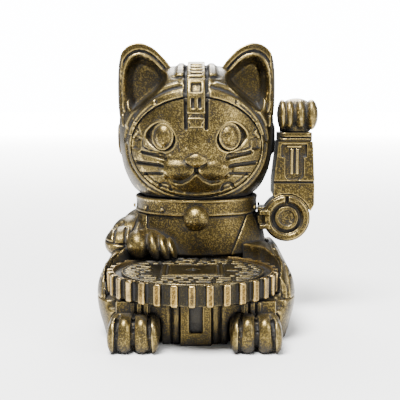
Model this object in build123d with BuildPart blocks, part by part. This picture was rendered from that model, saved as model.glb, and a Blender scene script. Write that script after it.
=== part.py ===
"""Beckoning cat figurine in antiqued brass, with a spinning coin on its lap.

Frame: +Z up, the cat faces -Y, its own left is +X.  The origin is on the resting plane, under the
neck axis.  Millimetres.  Lower body, torso, head and arms are separate castings pinned together.
"""

import os
from math import cos, radians, sin, sqrt

from build123d import *

os.makedirs("parts", exist_ok=True)

# ---- driving dimensions -------------------------------------------------------------------------
figure_height = 45.2  # resting plane to ear tips
running_gap = 0.3  # between pieces that move past each other
pin_gap = 0.05  # radial clearance of a running fit
seat_gap = 0.02  # between pieces that are fixed together

coin_x, coin_y = -0.5, -19.2  # coin axis
coin_radius = 13.05  # over the edge lands
coin_root_radius = 12.65  # floor of the edge grooves
coin_bottom, coin_top = 7.15, 10.25
coin_lands = 32
coin_land_width = 0.98
coin_recess_radius = 12.0
coin_recess_depth = 0.75

deck_height = coin_bottom - running_gap  # top of the lower body under the coin
coin_well_radius = coin_radius + 0.35

torso_half_width, torso_half_depth = 11.9, 9.9
collar_radius, collar_inner_radius = 10.5, 9.55
collar_bottom, collar_top = 16.95, 19.7

head_radius = 13.1  # largest radius about the neck axis
head_sweep_radius = 13.4  # nothing on the head reaches past this
head_wall = 1.5
trim_gap, ear_gap = 0.08, 0.3  # between the head shell and the strap, and the ears
face_half_width, face_half_height, face_height = 10.75, 8.2, 28.1

elbow_x, elbow_z = 15.1, 16.04  # elbow pin axis, along Y
elbow_radius = 3.95
arm_front, arm_back = -4.7, 2.9  # Y of the raised arm's faces
shoulder_y = -2.4  # shoulder dowel axis, along X at elbow_z
forearm_top = 28.8
paw_bottom, paw_top = 30.7, 36.06


def save(piece, label):
    """Labels a finished piece and writes it as its own STEP file."""
    piece.part.label = label
    export_step(piece.part, f"parts/{label}.step")


# ---- shared outlines ----------------------------------------------------------------------------
# Half profile of the head: radius about the neck axis against height.
head_middle, head_crown = 30.5, 41.5
head_profile = [(8.6, 19.35), (10.5, 20.7), (11.75, 22.7), (12.65, 25.4), (head_radius, head_middle),
                (12.8, 34.6), (11.6, 37.9), (8.6, 40.3), (4.2, 41.35)]


def head_body(grow):
    """Solid of revolution with the head's outline, grown outwards by grow."""
    points = []
    for radius, height in head_profile:
        share = 1 + grow / sqrt(radius**2 + (height - head_middle) ** 2)
        points.append((radius * share, head_middle + (height - head_middle) * share))
    top = (0, head_crown + grow)
    with BuildPart() as body:
        with BuildSketch(Plane.XZ.rotated((0, 0, 37))):
            with BuildLine():
                Spline(*points, top)
                Polyline(top, (0, points[0][1]), points[0])
            make_face()
        revolve(axis=Axis.Z)
    return body.part


def face_prism(grow, front=-20, back=-5.0):
    """Elliptical prism along Y with the face's outline."""
    with BuildPart() as prism:
        with BuildSketch(Plane.XZ.offset(-back)):
            with Locations((0, face_height)):
                Ellipse(face_half_width + grow, face_half_height + grow)
        extrude(amount=back - front)
    return prism.part


def slab(low, high):
    """Box between two corners, for trimming."""
    size = [b - a for a, b in zip(low, high)]
    middle = [(a + b) / 2 for a, b in zip(low, high)]
    return Pos(*middle) * Box(*size, mode=Mode.PRIVATE)


def drum(middle, radius, height, turn=(0, 0, 0)):
    """Cylinder for trimming."""
    return Pos(*middle) * Rot(*turn) * Cylinder(radius, height, mode=Mode.PRIVATE)


def coin_well(bottom, top):
    """Clearance for the turning coin."""
    return drum((coin_x, coin_y, (bottom + top) / 2), coin_well_radius, top - bottom)


# Lower body: height, half width, front Y, back Y and corner radius of each section.
haunch_sections = [(0.0, 13.7, -25.2, 9.6, 6.0), (4.0, 14.8, -25.8, 10.6, 7.0),
                   (8.0, 15.0, -25.4, 10.8, 7.4), (11.0, 13.6, -23.5, 10.0, 7.0),
                   (12.4, 11.4, -21.0, 8.6, 6.0)]


def haunch_body(inset):
    """Lofted block of the lower body, pulled in by inset."""
    with BuildPart() as body:
        for height, half_width, front, back, corner in haunch_sections:
            with BuildSketch(Plane.XY.offset(height)):
                with Locations((0, (front + back) / 2)):
                    RectangleRounded(2 * (half_width - inset), back - front - 2 * inset, corner - inset / 2)
        loft()
    return body.part


# Torso: height, half width and half depth of each section.
torso_sections = [(deck_height, 11.3, 9.6), (10.3, torso_half_width, torso_half_depth),
                  (14.0, 11.4, torso_half_depth), (collar_bottom - seat_gap, 10.15, 9.8)]


def torso_body(grow):
    """Lofted torso, grown outwards by grow."""
    with BuildPart() as body:
        for height, half_width, half_depth in torso_sections:
            with BuildSketch(Plane.XY.offset(height)):
                Ellipse(half_width + grow, half_depth + grow)
        loft()
    return body.part


def ball(middle, radius):
    return Pos(*middle) * Sphere(radius, mode=Mode.PRIVATE)


def capsule(start, end, radius):
    """Round-ended bar between two points."""
    a, b = Vector(*start), Vector(*end)
    bar = Cylinder(radius, (b - a).length, mode=Mode.PRIVATE)
    return Plane(origin=(a + b) / 2, z_dir=b - a) * bar + ball(start, radius) + ball(end, radius)


def ellipsoid(middle, radii):
    return Pos(*middle) * scale(Sphere(1, mode=Mode.PRIVATE), by=radii, mode=Mode.PRIVATE)


# ---- lower body ---------------------------------------------------------------------------------
foot_half_width, foot_height = 3.85, 4.9
foot_front, foot_back = -31.2, -23.4
foot_x = {"left": 8.6, "right": -8.9}
toe_groove_pitch = 2.5

plate_thickness = 1.0
cavity_top = 5.2
cavity_size = (19.0, 24.0)
cavity_y = -8.0
plate_size = (21.0, 27.6)
boss_places = [(x, y) for x in (-8.6, 8.6) for y in (-17.9, 1.9)]
small_screw_radius = 0.7


def foot_blank(side, grow=0.0):
    """Rounded block that a paw or its pocket is cut from."""
    with BuildPart() as blank:
        with Locations((foot_x[side], (foot_front + foot_back) / 2, foot_height / 2)):
            Box(2 * (foot_half_width + grow), foot_back - foot_front + 2 * grow, foot_height + 2 * grow)
        fillet(blank.edges().filter_by(Axis.Z).group_by(Axis.Y)[0], 2.6)
        fillet(blank.faces().sort_by(Axis.Z)[-1].edges(), 1.7)
    return blank.part


def build_foot(side):
    with BuildPart() as foot:
        add(foot_blank(side))
        for step in (-1, 0, 1):
            with Locations((foot_x[side] + step * toe_groove_pitch, foot_front + 1.2, foot_height / 2)):
                Box(0.34, 4.4, foot_height + 0.4, mode=Mode.SUBTRACT)
    save(foot, f"foot_{side}")


knee_front, knee_bottom, knee_top = -28.3, foot_height + 0.05, deck_height


def knee_blank(side, grow=0.0):
    sign = 1 if side == "left" else -1
    with BuildPart() as blank:
        with Locations((sign * 10.3, (knee_front - 23.4) / 2, (knee_bottom + knee_top) / 2)):
            Box(6.0 + 2 * grow, -23.4 - knee_front + 2 * grow, knee_top - knee_bottom)
        fillet(blank.edges().filter_by(Axis.Z).group_by(Axis.Y)[0], 2.0)
    return blank.part


def build_knee(side):
    """Ribbed shin guard above each front paw."""
    sign = 1 if side == "left" else -1
    with BuildPart() as knee:
        add(knee_blank(side))
        for offset in (8.6, 10.3, 12.0):
            with Locations((sign * offset, knee_front + 0.2, (knee_bottom + knee_top) / 2)):
                Box(0.45, 1.6, knee_top - knee_bottom + 1, mode=Mode.SUBTRACT)
    save(knee, f"shin_guard_{side}")


hatch_half_width, hatch_height = 2.3, 6.4
hatch_front = -26.15

with BuildPart() as hatch_panel:
    with Locations((0, (hatch_front - 24.6) / 2, hatch_height / 2 + 0.1)):
        Box(2 * hatch_half_width, -24.6 - hatch_front, hatch_height)
    with Locations((0, hatch_front, 4.3)):
        Box(1.9, 1.9, 4.6, mode=Mode.SUBTRACT)
    chamfer(hatch_panel.edges().filter_by(Axis.Z).group_by(Axis.Y)[0], 0.12)
save(hatch_panel, "front_hatch_panel")

with BuildPart() as hatch_shutter:
    with Locations((0, -25.34, 4.3)):
        Box(1.9 - 2 * seat_gap, 0.25, 4.6 - 2 * seat_gap)
save(hatch_shutter, "hatch_shutter")

# Side plates are a skin over the lower body, from the coin's rim to the back.
thigh_inset = 0.8
thigh_bottom, thigh_top = 6.3, 11.6
thigh_front, thigh_back = -22.6, 3.6


def build_thigh_plate(side):
    sign = 1 if side == "left" else -1
    with BuildPart() as plate:
        add(haunch_body(0) - haunch_body(thigh_inset))
        low = (min(sign * 9.0, sign * 20), thigh_front, thigh_bottom)
        high = (max(sign * 9.0, sign * 20), thigh_back, thigh_top)
        add(slab(low, high), mode=Mode.INTERSECT)
        add(coin_well(0, 20), mode=Mode.SUBTRACT)
        add(slab((-20, -9.3, 0), (20, -8.9, 20)), mode=Mode.SUBTRACT)
        add(torso_body(0.6), mode=Mode.SUBTRACT)
    save(plate, f"thigh_plate_{side}")


with BuildPart() as base_casting:
    add(haunch_body(thigh_inset) + (haunch_body(0) & slab((-20, -40, 0), (20, 20, thigh_bottom - seat_gap))))
    add(coin_well(deck_height, 20), mode=Mode.SUBTRACT)
    add(slab((-12.2, -30, deck_height), (12.2, coin_y, 20)), mode=Mode.SUBTRACT)
    add(torso_body(0.5), mode=Mode.SUBTRACT)
    for side in ("left", "right"):
        add(foot_blank(side, seat_gap), mode=Mode.SUBTRACT)
        add(knee_blank(side, seat_gap), mode=Mode.SUBTRACT)
    with Locations((0, -26.0, hatch_height / 2)):
        Box(2 * (hatch_half_width + seat_gap), 2.8, hatch_height + 0.3, mode=Mode.SUBTRACT)
    with Locations((0, cavity_y, plate_thickness / 2)):
        Box(*plate_size, plate_thickness, mode=Mode.SUBTRACT)
    with Locations((0, cavity_y, (plate_thickness + cavity_top) / 2)):
        Box(*cavity_size, cavity_top - plate_thickness, mode=Mode.SUBTRACT)
    with Locations(*[(x, y, (plate_thickness + cavity_top) / 2 + 0.05) for x, y in boss_places]):
        Cylinder(1.7, cavity_top - plate_thickness + 0.1)
    with Locations(*[(x, y, 2.5) for x, y in boss_places]):
        Cylinder(small_screw_radius + seat_gap, 3.0, mode=Mode.SUBTRACT)
    with Locations((0, 0, 6.0)):
        Cylinder(1.0 + seat_gap, 3.0, mode=Mode.SUBTRACT)
    with Locations((coin_x, coin_y, 6.0)):
        Cylinder(1.2 + seat_gap, 3.0, mode=Mode.SUBTRACT)
    with Locations((coin_x, coin_y, (plate_thickness + cavity_top) / 2)):
        Cylinder(2.05, cavity_top - plate_thickness, mode=Mode.SUBTRACT)
save(base_casting, "base_casting")

with BuildPart() as base_plate:
    with Locations((0, cavity_y, (plate_thickness - seat_gap) / 2)):
        Box(plate_size[0] - 2 * seat_gap, plate_size[1] - 2 * seat_gap, plate_thickness - seat_gap)
    with Locations(*[Location((x, y, 0), (180, 0, 0)) for x, y in boss_places]):
        CounterSinkHole(small_screw_radius + seat_gap, 1.3, depth=plate_thickness, counter_sink_angle=90)
save(base_plate, "base_plate")

with BuildPart() as base_screws:
    with Locations(*[(x, y, 0.05) for x, y in boss_places]):
        Cone(1.2, small_screw_radius, 0.5, align=(Align.CENTER, Align.CENTER, Align.MIN))
        Cylinder(small_screw_radius, 3.4, align=(Align.CENTER, Align.CENTER, Align.MIN))
    with Locations(*[(x, y, 0.05) for x, y in boss_places]):
        Box(1.6, 0.25, 0.4, mode=Mode.SUBTRACT)
save(base_screws, "base_plate_screws")

for side in ("left", "right"):
    build_foot(side)
    build_knee(side)
    build_thigh_plate(side)

# Tail curled against the back.
with BuildPart() as tail:
    add(capsule((0.5, 10.6, 2.6), (4.6, 11.2, 3.4), 2.1))
    add(capsule((4.6, 11.2, 3.4), (7.2, 10.4, 6.4), 2.0))
    add(haunch_body(-seat_gap), mode=Mode.SUBTRACT)
    add(slab((-20, 5, -5), (20, 20, 0.3)), mode=Mode.SUBTRACT)
save(tail, "tail")

# ---- coin ---------------------------------------------------------------------------------------
with BuildPart() as coin_disc:
    with Locations((coin_x, coin_y, (coin_bottom + coin_top) / 2)):
        Cylinder(coin_root_radius, coin_top - coin_bottom)
        with PolarLocations(coin_root_radius, coin_lands, start_angle=-90):
            Box(2 * (coin_radius - coin_root_radius), coin_land_width, coin_top - coin_bottom)
    with Locations((coin_x, coin_y, coin_top - coin_recess_depth / 2)):
        Cylinder(coin_recess_radius, coin_recess_depth, mode=Mode.SUBTRACT)
    with Locations((coin_x, coin_y, coin_bottom + 0.8)):
        Cylinder(1.2 + pin_gap, 1.6, mode=Mode.SUBTRACT)
save(coin_disc, "coin_disc")

panel_half, relief_height = 5.8, 0.2
inlay_base = coin_top - coin_recess_depth
inlay_top = coin_top - 0.12

with BuildPart() as coin_inlay:
    with BuildSketch(Plane.XY.offset(inlay_base + seat_gap)):
        with Locations((coin_x, coin_y)):
            Circle(10.9)
    extrude(amount=inlay_top - relief_height - inlay_base - seat_gap)
    with BuildSketch(Plane.XY.offset(inlay_top - relief_height)):
        with Locations((coin_x, coin_y)):
            Rectangle(2 * panel_half, 2 * panel_half)
            for level in range(-4, 5):
                for sign in (-1, 1):
                    with Locations((sign * 8.0, level * 1.15)):
                        Rectangle(3.2 - 0.25 * abs(level), 0.55)
                    with Locations((level * 1.15, sign * 8.0)):
                        Rectangle(0.55, 3.2 - 0.25 * abs(level))
    extrude(amount=relief_height)
    with BuildSketch(Plane.XY.offset(inlay_top)):
        with Locations((coin_x, coin_y)):
            Rectangle(2.0, 2.0, rotation=45)
    extrude(amount=-0.4, mode=Mode.SUBTRACT)
save(coin_inlay, "coin_inlay")

with BuildPart() as coin_spindle:
    with Locations((coin_x, coin_y, 6.6)):
        Cylinder(1.2, 3.9)
    with Locations((coin_x, coin_y, 4.86)):
        Cylinder(2.0, 0.66)
save(coin_spindle, "coin_spindle")

with BuildPart() as coin_washer:
    with Locations((coin_x, coin_y, deck_height + 0.13)):
        Cylinder(2.6, 0.22)
        Cylinder(1.2 + seat_gap, 1.0, mode=Mode.SUBTRACT)
save(coin_washer, "coin_thrust_washer")

# ---- torso and collar ---------------------------------------------------------------------------
neck_radius, neck_top = collar_inner_radius - seat_gap, 18.9
dowel_radius = 0.8
chest_plate_thickness = 0.45

with BuildPart() as torso:
    add(torso_body(0))
    with Locations((0, 0, (collar_bottom - 1 + neck_top) / 2)):
        Cylinder(neck_radius, neck_top - collar_bottom + 1)
    add(coin_well(0, coin_top + 0.25), mode=Mode.SUBTRACT)
    with Locations((0, 0, deck_height + 2.4)):
        Cylinder(1.0 + seat_gap, 4.8, mode=Mode.SUBTRACT)
    with Locations((0, 0, neck_top - 2.5)):
        Cylinder(1.3 + seat_gap, 5.0, mode=Mode.SUBTRACT)
    with Locations(Location((9.5, shoulder_y, elbow_z), (0, 90, 0))):
        Cylinder(dowel_radius + seat_gap, 7.0, mode=Mode.SUBTRACT)
save(torso, "torso")


def front_prism(points, back):
    """Prism towards -Y from the plane Y = back, with the given outline."""
    with BuildPart() as prism:
        with BuildSketch(Plane.XZ.offset(-back)):
            with BuildLine():
                Polyline(*points, close=True)
            make_face()
        extrude(amount=20)
    return prism.part


def build_chest_plate(side):
    """Raised lapel on each side of the chest."""
    inner_top, inner_bottom = (8.36, 5.7) if side == "left" else (-8.2, -8.2)
    sign = 1 if side == "left" else -1
    outline = [(inner_top, 16.8), (inner_bottom, 10.6), (sign * 16, 10.6), (sign * 16, 16.8)]
    window = front_prism(outline, -0.6)
    with BuildPart() as plate:
        add(torso_body(chest_plate_thickness) - torso_body(seat_gap))
        add(window, mode=Mode.INTERSECT)
        if side == "left":
            add(slab((8.0, -4.8, 10), (20, 0, 20)), mode=Mode.SUBTRACT)
    save(plate, f"chest_plate_{side}")


for side in ("left", "right"):
    build_chest_plate(side)

with BuildPart() as collar:
    with Locations((0, 0, (collar_bottom + collar_top) / 2)):
        Cylinder(collar_radius, collar_top - collar_bottom)
        Cylinder(collar_inner_radius, collar_top - collar_bottom, mode=Mode.SUBTRACT)
    chamfer(collar.edges().filter_by(GeomType.CIRCLE).sort_by(SortBy.RADIUS)[-2:], 0.15)
save(collar, "collar_band")

with BuildPart() as collar_rivets:
    for angle in (-171, -143, -122, -24, 0, 30, 60, 90, 120, 150):
        turn = radians(angle)
        with Locations((collar_radius * cos(turn), collar_radius * sin(turn), 17.9)):
            Sphere(0.4)
    add(drum((0, 0, 17.9), collar_radius + seat_gap, 3), mode=Mode.SUBTRACT)
save(collar_rivets, "collar_rivets")

bell_y, bell_z, bell_radius = -11.2, 16.7, 2.0
with BuildPart() as bell:
    with Locations((0, bell_y, bell_z)):
        Sphere(bell_radius)
    add(drum((0, 0, 18), collar_radius + seat_gap, 10), mode=Mode.SUBTRACT)
save(bell, "bell")

with BuildPart() as back_panel:
    add(torso_body(0.5) - torso_body(seat_gap))
    add(slab((-4.2, 5, 11.2), (4.2, 15, 16.2)), mode=Mode.INTERSECT)
    for height in (12.3, 13.4, 14.5, 15.4):
        add(slab((-3.0, 5, height - 0.2), (3.0, 15, height + 0.2)), mode=Mode.SUBTRACT)
save(back_panel, "back_vent_panel")

with BuildPart() as torso_bolt:
    with Locations((0, 0, 8.0)):
        Cylinder(1.0, 6.4)
    with Locations((0, 0, 4.55)):
        Cylinder(1.9, 1.26)
save(torso_bolt, "torso_bolt")

# ---- resting arm (the cat's right) --------------------------------------------------------------
with BuildPart() as upper_arm_right:
    add(capsule((-8.6, -1.2, 13.9), (-11.1, -4.2, 12.3), 3.5))
    add(torso_body(chest_plate_thickness + seat_gap), mode=Mode.SUBTRACT)
    add(haunch_body(-seat_gap), mode=Mode.SUBTRACT)
    add(slab((-20, -20, 10), (-4, -5.9, 20)), mode=Mode.SUBTRACT)
    add(drum((0, 0, 18.5), collar_radius + 0.1, 3.3), mode=Mode.SUBTRACT)
save(upper_arm_right, "upper_arm_right")

cuff_start, cuff_end = Vector(-13.0, -6.0, 12.75), Vector(-10.3, -8.9, 12.75)
with BuildPart() as forearm_cuff:
    with BuildSketch(Plane(origin=cuff_start, z_dir=cuff_end - cuff_start)):
        Circle(2.35)
    extrude(amount=(cuff_end - cuff_start).length)
    fillet(forearm_cuff.edges().filter_by(GeomType.CIRCLE), 0.4)
    add(slab((-20, -5.88, 5), (0, 5, 20)), mode=Mode.SUBTRACT)
    add(coin_well(0, coin_top + 0.2), mode=Mode.SUBTRACT)
    add(haunch_body(-seat_gap), mode=Mode.SUBTRACT)
    add(torso_body(chest_plate_thickness + seat_gap), mode=Mode.SUBTRACT)
    add(upper_arm_right.part, mode=Mode.SUBTRACT)
save(forearm_cuff, "forearm_cuff_right")

with BuildPart() as paw_right:
    add(ellipsoid((-6.9, -9.6, 12.4), (4.25, 3.4, 2.3)))
    add(torso_body(chest_plate_thickness + seat_gap), mode=Mode.SUBTRACT)
    add(forearm_cuff.part, mode=Mode.SUBTRACT)
    add(haunch_body(-seat_gap) - coin_well(0, 20), mode=Mode.SUBTRACT)
    add(slab((-20, -20, 0), (10, 10, coin_top + 0.2)), mode=Mode.SUBTRACT)
save(paw_right, "paw_right")

# ---- raised arm (the cat's left) ----------------------------------------------------------------
with BuildPart() as shoulder_dowel:
    with Locations(Location((9.55, shoulder_y, elbow_z), (0, 90, 0))):
        Cylinder(dowel_radius, 6.6)
save(shoulder_dowel, "shoulder_dowel")

elbow_pin_radius = 0.95
with BuildPart() as upper_arm_left:
    with Locations(Location((elbow_x, (arm_front - 0.1) / 2, elbow_z), (90, 0, 0))):
        Cylinder(elbow_radius, -0.1 - arm_front)
    fillet(upper_arm_left.faces().sort_by(Axis.Y)[-1].edges(), 0.5)
    with Locations((12.0, shoulder_y, elbow_z)):
        Box(3.4, 4.2, 3.6)
    add(torso_body(chest_plate_thickness + seat_gap), mode=Mode.SUBTRACT)
    add(drum((0, 0, 18.5), collar_radius + 0.1, 3.3), mode=Mode.SUBTRACT)
    with Locations(Location((elbow_x, arm_front + 0.3, elbow_z), (90, 0, 0))):
        Cylinder(2.55, 0.6, mode=Mode.SUBTRACT)
    with Locations((elbow_x, arm_front + 0.4, elbow_z + 3.0)):
        Box(0.5, 0.8, 1.4, mode=Mode.SUBTRACT)
    with Locations(Location((elbow_x, -2.4, elbow_z), (90, 0, 0))):
        Cylinder(elbow_pin_radius + seat_gap, 6.0, mode=Mode.SUBTRACT)
    with Locations(Location((11.3, shoulder_y, elbow_z), (0, 90, 0))):
        Cylinder(dowel_radius + seat_gap, 3.4, mode=Mode.SUBTRACT)
save(upper_arm_left, "upper_arm_left")

with BuildPart() as elbow_hub:
    with Locations(Location((elbow_x, arm_front + 0.25, elbow_z), (90, 0, 0))):
        Cylinder(1.96, 0.7)
    with Locations(Location((elbow_x, arm_front - 0.05, elbow_z), (90, 0, 0))):
        Cylinder(1.33, 0.5, mode=Mode.SUBTRACT)
    fillet(elbow_hub.edges().filter_by(GeomType.CIRCLE).group_by(Axis.Y)[0], 0.15)
save(elbow_hub, "elbow_hub_cap")

with BuildPart() as elbow_pin:
    with Locations(Location((elbow_x, (arm_front + 0.62 + arm_back + 0.3) / 2, elbow_z), (90, 0, 0))):
        Cylinder(elbow_pin_radius, arm_back + 0.3 - arm_front - 0.62)
    with Locations(Location((elbow_x, arm_back + 0.35, elbow_z), (90, 0, 0))):
        Cylinder(1.5, 0.5)
save(elbow_pin, "elbow_pin")

fender_inner_radius = elbow_radius + 0.15
tongue_radius = 2.6

with BuildPart() as forearm:
    with BuildSketch(Plane.XZ.offset(-arm_back)):
        with BuildLine():
            Polyline((elbow_x, elbow_z), (19.15, 17.2), (19.72, 18.3), (19.72, 22.0), (19.4, forearm_top),
                     (13.65, forearm_top), (12.95, 22.4), (12.9, 19.9), close=True)
        make_face()
    extrude(amount=arm_back - arm_front)
    with Locations(Location((elbow_x, (arm_front + 0.1) / 2 - 1, elbow_z), (90, 0, 0))):
        Cylinder(fender_inner_radius, 0.1 - arm_front + 2, mode=Mode.SUBTRACT)
    with Locations(Location((elbow_x, (0.1 + arm_back) / 2, elbow_z), (90, 0, 0))):
        Cylinder(tongue_radius, arm_back - 0.1)
    with Locations(Location((elbow_x, 1.5, elbow_z), (90, 0, 0))):
        Cylinder(elbow_pin_radius + pin_gap, 4.0, mode=Mode.SUBTRACT)
    # U-shaped recess with a wide mouth
    with BuildSketch(Plane.XZ.offset(-arm_front)):
        with Locations((16.25, 27.3)):
            Rectangle(4.3, 2.2)
        with Locations((16.35, 24.6)):
            RectangleRounded(3.1, 4.4, 1.0)
    extrude(amount=-0.7, mode=Mode.SUBTRACT)
    # band groove
    with BuildSketch(Plane.XZ.offset(-arm_front)):
        with Locations((16.3, 22.05)):
            Rectangle(8.0, 0.35)
    extrude(amount=-0.4, mode=Mode.SUBTRACT)
save(forearm, "forearm_left")

with BuildPart() as forearm_rods:
    for x in (15.9, 16.8):
        with Locations((x, arm_front + 0.4, 25.5)):
            Box(0.42, 0.56, 4.2)
    with Locations((16.3, arm_front + 0.45, 28.05)):
        Box(2.4, 0.46, 0.4)
save(forearm_rods, "forearm_rods")

arm_mid_y = (arm_front + arm_back) / 2
with BuildPart() as wrist_ring:
    with Locations((16.55, arm_mid_y, (forearm_top + 30.3) / 2 + 0.02)):
        Box(5.7, 6.6, 30.3 - forearm_top - 0.04)
    fillet(wrist_ring.edges().filter_by(Axis.Z), 1.2)
save(wrist_ring, "wrist_ring")

with BuildPart() as paw_left:
    with Locations((16.95, arm_mid_y, (paw_bottom + paw_top) / 2)):
        Box(6.5, 7.4, paw_top - paw_bottom)
    fillet(paw_left.edges().filter_by(Axis.Z), 2.2)
    fillet(paw_left.faces().sort_by(Axis.Z)[-1].edges(), 2.1)
    for x in (14.95, 16.75, 18.6):
        with Locations((x, -5.4, 33.0)):
            Box(0.3, 1.4, 8, mode=Mode.SUBTRACT)
    with Locations((16.7, arm_mid_y, (30.3 + paw_bottom) / 2)):
        Box(4.6, 5.4, paw_bottom - 30.3 - 0.02)
save(paw_left, "paw_left")

# ---- head ---------------------------------------------------------------------------------------
with BuildPart() as head_shell:
    add(head_body(0))
    add(head_body(-head_wall), mode=Mode.SUBTRACT)
    add(face_prism(0.1), mode=Mode.SUBTRACT)
    with Locations((0, 0, 20.6)):
        Cylinder(4.0, 1.6)
    with Locations((0, 0, 20)):
        Cylinder(1.3 + pin_gap, 6.0, mode=Mode.SUBTRACT)
save(head_shell, "head_shell")

with BuildPart() as face_mask:
    add(head_body(-0.1))
    add(head_body(-1.3), mode=Mode.SUBTRACT)
    add(face_prism(0), mode=Mode.INTERSECT)
    for sign in (-1, 1):
        with BuildSketch(Plane.XZ.offset(16)):
            with Locations((sign * 5.13, 29.9)):
                Ellipse(1.85, 2.2)
        extrude(amount=-12, mode=Mode.SUBTRACT)
    with BuildSketch(Plane.XZ.offset(16)):
        with Locations((0, 26.3)):
            Ellipse(1.3, 0.75)
    extrude(amount=-8, mode=Mode.SUBTRACT)
save(face_mask, "face_mask")


def build_eye(side):
    x = 5.13 if side == "left" else -5.13
    with BuildPart() as eye:
        add(ellipsoid((x, -10.4, 29.9), (1.8, 1.6, 2.15)))
    save(eye, f"eye_{side}")


for side in ("left", "right"):
    build_eye(side)

with BuildPart() as nose:
    with BuildSketch(Plane.XZ.offset(11.2)):
        with Locations((0, 26.3)):
            Ellipse(1.25, 0.7)
    extrude(amount=1.9)
save(nose, "nose")


def build_brow_band(side):
    sign = 1 if side == "left" else -1
    ring = face_prism(1.15) - face_prism(0.12)
    with BuildPart() as band:
        add(head_body(0.28) - head_body(seat_gap))
        add(ring, mode=Mode.INTERSECT)
        low = (min(sign * 1.85, sign * 20), -20, 29.9)
        high = (max(sign * 1.85, sign * 20), 0, 50)
        add(slab(low, high), mode=Mode.INTERSECT)
    save(band, f"brow_band_{side}")


for side in ("left", "right"):
    build_brow_band(side)

with BuildPart() as crest_strap:
    add(head_body(0.5) & (slab((-1.4, -20, 37.9), (1.4, 20, 50)) + slab((-1.4, 0, 24), (1.4, 20, 50))))
    add(head_body(trim_gap), mode=Mode.SUBTRACT)
save(crest_strap, "crest_strap")

temple_z = 29.0


def build_temple_cap(side):
    sign = 1 if side == "left" else -1
    with BuildPart() as cap:
        add(head_body(0.28) - head_body(seat_gap))
        add(drum((sign * 12, 1.5, temple_z), 2.7, 8, (0, 90, 0)), mode=Mode.INTERSECT)
    save(cap, f"temple_cap_{side}")


for side in ("left", "right"):
    build_temple_cap(side)

ear_front, ear_back = -3.9, 2.1


def ear_block(side, inset, front, back):
    """Solid with the ear's outline pulled in by about inset, between two Y planes."""
    sign = 1 if side == "left" else -1
    tip = [(13.0, 31.5), (13.25, 37.4), (12.7, 41.9), (10.0, figure_height - 0.02), (6.3, 44.0), (3.7, 41.0)]
    middle, share = (9.0, 38.6), 1 - inset / 5.2
    points = [(sign * (middle[0] + (x - middle[0]) * share), middle[1] + (z - middle[1]) * share)
              for x, z in [*tip, (5.2, 35.5)]]
    with BuildPart() as block:
        with BuildSketch(Plane.XZ.offset(-back)):
            with BuildLine():
                Spline(*points[:-1])
                Polyline(points[-2], points[-1], points[0])
            make_face()
        extrude(amount=back - front)
    return block.part


def build_ear(side):
    with BuildPart() as ear:
        add(ear_block(side, 0, ear_front, ear_back))
        add(ear_block(side, 0.85, ear_front - 1, ear_front + 2.2), mode=Mode.SUBTRACT)
        add(head_body(ear_gap), mode=Mode.SUBTRACT)
        add(drum((0, 0, 38), head_sweep_radius, 40), mode=Mode.INTERSECT)
    save(ear, f"ear_{side}")
    with BuildPart() as cup:
        add(ear_block(side, 1.05, ear_front, ear_front + 2.1))
        add(ear_block(side, 1.6, ear_front - 1, ear_front + 1.5), mode=Mode.SUBTRACT)
        add(head_body(ear_gap), mode=Mode.SUBTRACT)
    save(cup, f"ear_cup_{side}")


for side in ("left", "right"):
    build_ear(side)

with BuildPart() as neck_screw:
    with Locations((0, 0, 18.3)):
        Cylinder(1.3, 7.2)
    with Locations((0, 0, 22.3)):
        Cylinder(2.4, 1.0)
save(neck_screw, "neck_pivot_screw")

with BuildPart() as neck_washer:
    with Locations((0, 0, 19.1)):
        Cylinder(4.2, 0.3)
        Cylinder(1.3 + seat_gap, 1.0, mode=Mode.SUBTRACT)
save(neck_washer, "neck_wave_washer")
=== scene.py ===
# %% [markdown]
# # A cast brass beckoning cat
# The figure is a small brass casting: soft edges, a sandy grain, dark age in every recess and a rubbed
# shine on what stands proud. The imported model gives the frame, the joints and the sizes. The head, the
# paws, the resting arm, the collar and the face of the coin are modelled here, and the rest starts as
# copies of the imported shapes. Each piece is then cast: its shells are fused and its edges softened.

# %% Load the frame
from math import cos, pi, radians, sin, sqrt

import bpy
import numpy as np
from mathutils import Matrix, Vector


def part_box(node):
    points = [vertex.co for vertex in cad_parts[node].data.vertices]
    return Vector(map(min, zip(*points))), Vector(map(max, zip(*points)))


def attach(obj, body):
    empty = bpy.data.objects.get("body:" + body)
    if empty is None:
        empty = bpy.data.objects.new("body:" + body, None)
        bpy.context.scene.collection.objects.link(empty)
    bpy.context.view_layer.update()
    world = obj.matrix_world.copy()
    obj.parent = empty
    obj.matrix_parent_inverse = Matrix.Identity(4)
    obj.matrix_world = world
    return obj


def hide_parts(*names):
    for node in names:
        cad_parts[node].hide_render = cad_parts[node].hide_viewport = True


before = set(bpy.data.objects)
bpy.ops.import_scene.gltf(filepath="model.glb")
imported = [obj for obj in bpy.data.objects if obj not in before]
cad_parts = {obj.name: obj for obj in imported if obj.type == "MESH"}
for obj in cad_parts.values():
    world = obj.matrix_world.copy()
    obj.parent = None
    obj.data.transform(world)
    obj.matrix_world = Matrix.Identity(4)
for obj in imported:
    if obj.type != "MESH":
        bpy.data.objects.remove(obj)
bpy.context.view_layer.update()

# %% [markdown]
# The bench works in millimetres, because voxels, bevels and booleans behave better at that size. Each
# finished piece is turned to metres at the very end. Everything is deselected before a primitive is
# added, because an operator acts on all that is selected.

# %% Bench helpers: primitives
MM = 0.001
AXIS_TURNS = {"Z": (0, 0, 0), "Y": (pi / 2, 0, 0), "X": (0, pi / 2, 0)}
BOTH_SIDES = ((1, "left"), (-1, "right"))


def clear():
    bpy.ops.object.select_all(action="DESELECT")


def select_only(piece):
    clear()
    piece.select_set(True)
    bpy.context.view_layer.objects.active = piece


def apply_place(piece):
    bpy.ops.object.transform_apply(location=True, rotation=True, scale=True)
    return piece


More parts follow.
